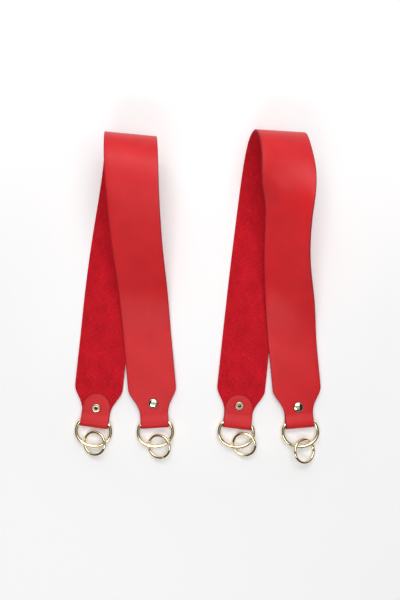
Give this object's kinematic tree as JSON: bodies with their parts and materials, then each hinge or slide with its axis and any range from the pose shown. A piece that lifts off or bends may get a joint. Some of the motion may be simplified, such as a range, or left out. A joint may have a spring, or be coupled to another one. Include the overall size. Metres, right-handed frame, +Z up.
{
  "type": "bag strap pair",
  "caption": "Pair of folded leather bag straps with riveted tabs, swinging D-rings and open jump rings.",
  "frame": {"origin": "on the table, below the middle of the whole pair's box", "axes": "+X from the left strap to the right one, +Y from the rings to the crowns, +Z up"},
  "size_m": [0.256, 0.3364, 0.0777],
  "materials": {
    "leather": "smooth dyed grain outside, suede inside",
    "fittings": "polished, pale gold"
  },
  "bodies": {
    "straps": {"left_strap": "leather", "right_strap": "leather", "left_under_rivet_cap": "fittings", "left_under_rivet_post": "fittings", "left_upper_rivet_cap": "fittings", "left_upper_rivet_post": "fittings", "right_under_rivet_cap": "fittings", "right_under_rivet_post": "fittings", "right_upper_rivet_cap": "fittings", "right_upper_rivet_post": "fittings"},
    "left_under_d_ring": {"left_under_d_ring": "fittings"},
    "left_under_jump_ring": {"left_under_jump_ring": "fittings"},
    "left_upper_d_ring": {"left_upper_d_ring": "fittings"},
    "left_upper_jump_ring": {"left_upper_jump_ring": "fittings"},
    "right_under_d_ring": {"right_under_d_ring": "fittings"},
    "right_under_jump_ring": {"right_under_jump_ring": "fittings"},
    "right_upper_d_ring": {"right_upper_d_ring": "fittings"},
    "right_upper_jump_ring": {"right_upper_jump_ring": "fittings"}
  },
  "joints": [
    {"name": "left_under_d_swing", "type": "hinge", "parent": "straps", "child": "left_under_d_ring", "pos_m": [-0.10715, -0.12657, 0.0046], "axis": [-0.9928, 0.1199, 0], "range_deg": [-125, 125]},
    {"name": "left_under_jump_roll", "type": "hinge", "parent": "left_under_d_ring", "child": "left_under_jump_ring", "pos_m": [-0.10705, -0.1475, 0.00556], "axis": [0.037, -0.9983, 0.0454], "range_deg": [0, 140]},
    {"name": "left_upper_d_swing", "type": "hinge", "parent": "straps", "child": "left_upper_d_ring", "pos_m": [-0.04439, -0.12721, 0.0046], "axis": [-0.9972, -0.0752, 0], "range_deg": [-125, 125]},
    {"name": "left_upper_jump_roll", "type": "hinge", "parent": "left_upper_d_ring", "child": "left_upper_jump_ring", "pos_m": [-0.03982, -0.15075, 0.00577], "axis": [0.2301, -0.972, 0.0485], "range_deg": [0, 138]},
    {"name": "right_under_d_swing", "type": "hinge", "parent": "straps", "child": "right_under_d_ring", "pos_m": [0.04137, -0.12794, 0.0046], "axis": [-0.9934, 0.1145, 0], "range_deg": [-125, 125]},
    {"name": "right_under_jump_roll", "type": "hinge", "parent": "right_under_d_ring", "child": "right_under_jump_ring", "pos_m": [0.04859, -0.14863, 0.00546], "axis": [0.4607, -0.8868, 0.0363], "range_deg": [0, 139]},
    {"name": "right_upper_d_swing", "type": "hinge", "parent": "straps", "child": "right_upper_d_ring", "pos_m": [0.10637, -0.1273, 0.0046], "axis": [-0.9962, -0.0876, 0], "range_deg": [-125, 125]},
    {"name": "right_upper_jump_roll", "type": "hinge", "parent": "right_upper_d_ring", "child": "right_upper_jump_ring", "pos_m": [0.11098, -0.15512, 0.00677], "axis": [-0.1739, 0.9818, -0.0765], "range_deg": [0, 129]}
  ]
}
